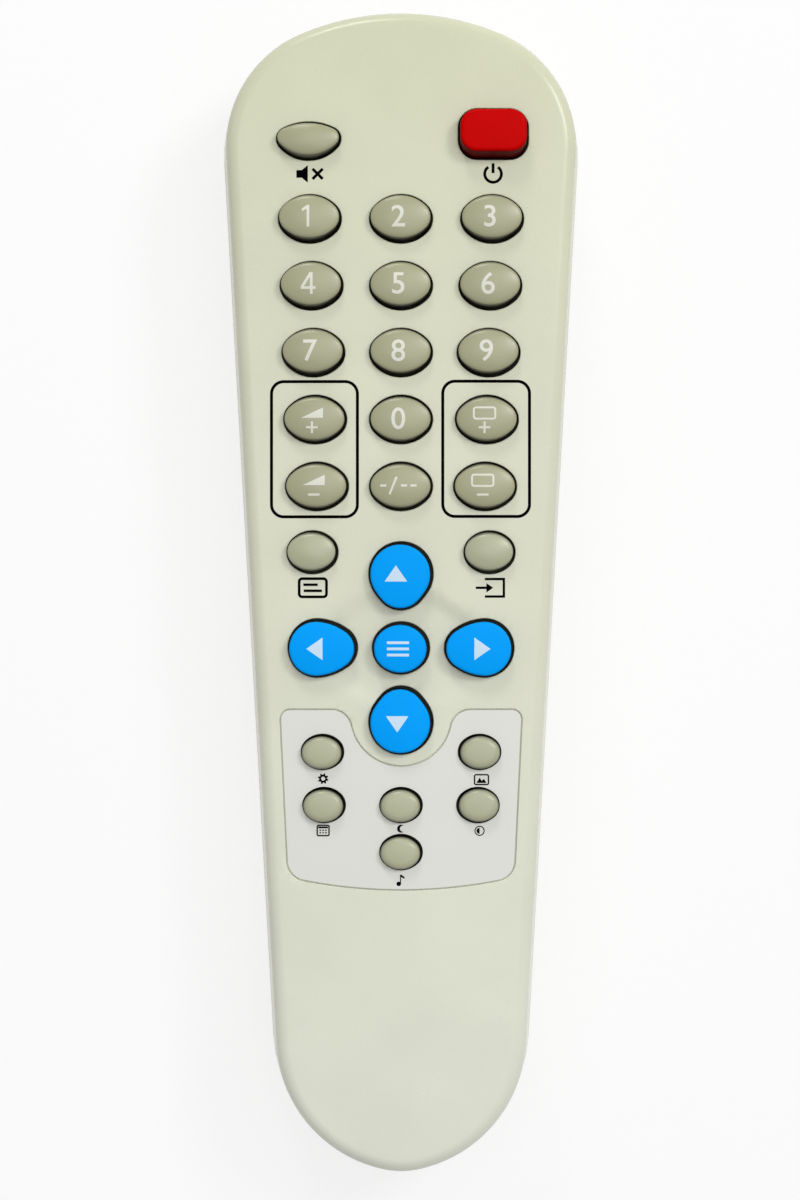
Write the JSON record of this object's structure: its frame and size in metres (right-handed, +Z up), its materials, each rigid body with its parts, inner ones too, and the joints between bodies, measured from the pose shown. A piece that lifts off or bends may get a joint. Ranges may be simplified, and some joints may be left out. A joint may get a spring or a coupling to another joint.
{
  "type": "TV remote control",
  "caption": "Slim cream handset for a television set: number block, arrow pad, small panel keys, infrared lamp, and a sliding cover over two AAA cells.",
  "frame": {"origin": "centre of the bounding box's bottom face, on the surface that the handset lies on", "axes": "+Y along the handset towards the infrared end, +Z up out of the keys, +X to the right"},
  "size_m": [0.0564, 0.1826, 0.0256],
  "materials": {
    "case_plastic": "fine texture",
    "key_grey": "matte",
    "key_pale": "matte",
    "key_red": "matte",
    "key_blue": "matte",
    "label": "satin print",
    "mat_rubber": "matte",
    "board": "satin",
    "pad_metal": "carbon ink",
    "lamp_plastic": "clear tinted",
    "spring_metal": "nickel",
    "screw_steel": "zinc",
    "cell_jacket": "gloss",
    "component_black": "satin",
    "component_blue": "glazed"
  },
  "bodies": {
    "case": {"top_shell": "case_plastic", "bottom_shell": "case_plastic", "keypad_mat": "mat_rubber", "circuit_board": "board", "contact_pads": "pad_metal", "panel_label": "label", "infrared_lamp": "lamp_plastic", "lamp_leads": "spring_metal", "battery_left": "cell_jacket", "battery_right": "cell_jacket", "end_contacts": "spring_metal", "bridge_contact": "spring_metal", "contact_springs": "spring_metal", "case_screw": "screw_steel", "controller_chip": "component_black", "resonator": "component_blue", "capacitor": "component_black", "transistor": "component_black", "resistors": "component_black"},
    "cover": {"battery_cover": "case_plastic"},
    "button_mute": {"key_mute": "key_grey"},
    "button_power": {"key_power": "key_red"},
    "button_1": {"key_1": "key_grey"},
    "button_2": {"key_2": "key_grey"},
    "button_3": {"key_3": "key_grey"},
    "button_4": {"key_4": "key_grey"},
    "button_5": {"key_5": "key_grey"},
    "button_6": {"key_6": "key_grey"},
    "button_7": {"key_7": "key_grey"},
    "button_8": {"key_8": "key_grey"},
    "button_9": {"key_9": "key_grey"},
    "button_volume_up": {"key_volume_up": "key_grey"},
    "button_0": {"key_0": "key_grey"},
    "button_channel_up": {"key_channel_up": "key_grey"},
    "button_volume_down": {"key_volume_down": "key_grey"},
    "button_digits": {"key_digits": "key_grey"},
    "button_channel_down": {"key_channel_down": "key_grey"},
    "button_display": {"key_display": "key_pale"},
    "button_tv_video": {"key_tv_video": "key_pale"},
    "button_up": {"key_up": "key_blue"},
    "button_down": {"key_down": "key_blue"},
    "button_left": {"key_left": "key_blue"},
    "button_right": {"key_right": "key_blue"},
    "button_menu": {"key_menu": "key_blue"},
    "button_sys": {"key_sys": "key_pale"},
    "button_pic": {"key_pic": "key_pale"},
    "button_calendar": {"key_calendar": "key_pale"},
    "button_sleep": {"key_sleep": "key_pale"},
    "button_picture_mode": {"key_picture_mode": "key_pale"},
    "button_sound_mode": {"key_sound_mode": "key_pale"}
  },
  "joints": [
    {"name": "slide_cover", "type": "slide", "parent": "case", "child": "cover", "axis": [0, -1, 0], "range_m": [0, 0.058]},
    {"name": "press_mute", "type": "slide", "parent": "case", "child": "button_mute", "axis": [0, 0, -1], "range_m": [0, 0.0011], "stiffness_N_per_m": 400, "springref_m": -0.0006},
    {"name": "press_power", "type": "slide", "parent": "case", "child": "button_power", "axis": [0, 0, -1], "range_m": [0, 0.0011], "stiffness_N_per_m": 400, "springref_m": -0.0006},
    {"name": "press_1", "type": "slide", "parent": "case", "child": "button_1", "axis": [0, 0, -1], "range_m": [0, 0.0011], "stiffness_N_per_m": 400, "springref_m": -0.0006},
    {"name": "press_2", "type": "slide", "parent": "case", "child": "button_2", "axis": [0, 0, -1], "range_m": [0, 0.0011], "stiffness_N_per_m": 400, "springref_m": -0.0006},
    {"name": "press_3", "type": "slide", "parent": "case", "child": "button_3", "axis": [0, 0, -1], "range_m": [0, 0.0011], "stiffness_N_per_m": 400, "springref_m": -0.0006},
    {"name": "press_4", "type": "slide", "parent": "case", "child": "button_4", "axis": [0, 0, -1], "range_m": [0, 0.0011], "stiffness_N_per_m": 400, "springref_m": -0.0006},
    {"name": "press_5", "type": "slide", "parent": "case", "child": "button_5", "axis": [0, 0, -1], "range_m": [0, 0.0011], "stiffness_N_per_m": 400, "springref_m": -0.0006},
    {"name": "press_6", "type": "slide", "parent": "case", "child": "button_6", "axis": [0, 0, -1], "range_m": [0, 0.0011], "stiffness_N_per_m": 400, "springref_m": -0.0006},
    {"name": "press_7", "type": "slide", "parent": "case", "child": "button_7", "axis": [0, 0, -1], "range_m": [0, 0.0011], "stiffness_N_per_m": 400, "springref_m": -0.0006},
    {"name": "press_8", "type": "slide", "parent": "case", "child": "button_8", "axis": [0, 0, -1], "range_m": [0, 0.0011], "stiffness_N_per_m": 400, "springref_m": -0.0006},
    {"name": "press_9", "type": "slide", "parent": "case", "child": "button_9", "axis": [0, 0, -1], "range_m": [0, 0.0011], "stiffness_N_per_m": 400, "springref_m": -0.0006},
    {"name": "press_volume_up", "type": "slide", "parent": "case", "child": "button_volume_up", "axis": [0, 0, -1], "range_m": [0, 0.0011], "stiffness_N_per_m": 400, "springref_m": -0.0006},
    {"name": "press_0", "type": "slide", "parent": "case", "child": "button_0", "axis": [0, 0, -1], "range_m": [0, 0.0011], "stiffness_N_per_m": 400, "springref_m": -0.0006},
    {"name": "press_channel_up", "type": "slide", "parent": "case", "child": "button_channel_up", "axis": [0, 0, -1], "range_m": [0, 0.0011], "stiffness_N_per_m": 400, "springref_m": -0.0006},
    {"name": "press_volume_down", "type": "slide", "parent": "case", "child": "button_volume_down", "axis": [0, 0, -1], "range_m": [0, 0.0011], "stiffness_N_per_m": 400, "springref_m": -0.0006},
    {"name": "press_digits", "type": "slide", "parent": "case", "child": "button_digits", "axis": [0, 0, -1], "range_m": [0, 0.0011], "stiffness_N_per_m": 400, "springref_m": -0.0006},
    {"name": "press_channel_down", "type": "slide", "parent": "case", "child": "button_channel_down", "axis": [0, 0, -1], "range_m": [0, 0.0011], "stiffness_N_per_m": 400, "springref_m": -0.0006},
    {"name": "press_display", "type": "slide", "parent": "case", "child": "button_display", "axis": [0, 0, -1], "range_m": [0, 0.0011], "stiffness_N_per_m": 400, "springref_m": -0.0006},
    {"name": "press_tv_video", "type": "slide", "parent": "case", "child": "button_tv_video", "axis": [0, 0, -1], "range_m": [0, 0.0011], "stiffness_N_per_m": 400, "springref_m": -0.0006},
    {"name": "press_up", "type": "slide", "parent": "case", "child": "button_up", "axis": [0, 0, -1], "range_m": [0, 0.0011], "stiffness_N_per_m": 400, "springref_m": -0.0006},
    {"name": "press_down", "type": "slide", "parent": "case", "child": "button_down", "axis": [0, 0, -1], "range_m": [0, 0.0011], "stiffness_N_per_m": 400, "springref_m": -0.0006},
    {"name": "press_left", "type": "slide", "parent": "case", "child": "button_left", "axis": [0, 0, -1], "range_m": [0, 0.0011], "stiffness_N_per_m": 400, "springref_m": -0.0006},
    {"name": "press_right", "type": "slide", "parent": "case", "child": "button_right", "axis": [0, 0, -1], "range_m": [0, 0.0011], "stiffness_N_per_m": 400, "springref_m": -0.0006},
    {"name": "press_menu", "type": "slide", "parent": "case", "child": "button_menu", "axis": [0, 0, -1], "range_m": [0, 0.0011], "stiffness_N_per_m": 400, "springref_m": -0.0006},
    {"name": "press_sys", "type": "slide", "parent": "case", "child": "button_sys", "axis": [0, 0, -1], "range_m": [0, 0.0011], "stiffness_N_per_m": 400, "springref_m": -0.0006},
    {"name": "press_pic", "type": "slide", "parent": "case", "child": "button_pic", "axis": [0, 0, -1], "range_m": [0, 0.0011], "stiffness_N_per_m": 400, "springref_m": -0.0006},
    {"name": "press_calendar", "type": "slide", "parent": "case", "child": "button_calendar", "axis": [0, 0, -1], "range_m": [0, 0.0011], "stiffness_N_per_m": 400, "springref_m": -0.0006},
    {"name": "press_sleep", "type": "slide", "parent": "case", "child": "button_sleep", "axis": [0, 0, -1], "range_m": [0, 0.0011], "stiffness_N_per_m": 400, "springref_m": -0.0006},
    {"name": "press_picture_mode", "type": "slide", "parent": "case", "child": "button_picture_mode", "axis": [0, 0, -1], "range_m": [0, 0.0011], "stiffness_N_per_m": 400, "springref_m": -0.0006},
    {"name": "press_sound_mode", "type": "slide", "parent": "case", "child": "button_sound_mode", "axis": [0, 0, -1], "range_m": [0, 0.0011], "stiffness_N_per_m": 400, "springref_m": -0.0006}
  ]
}
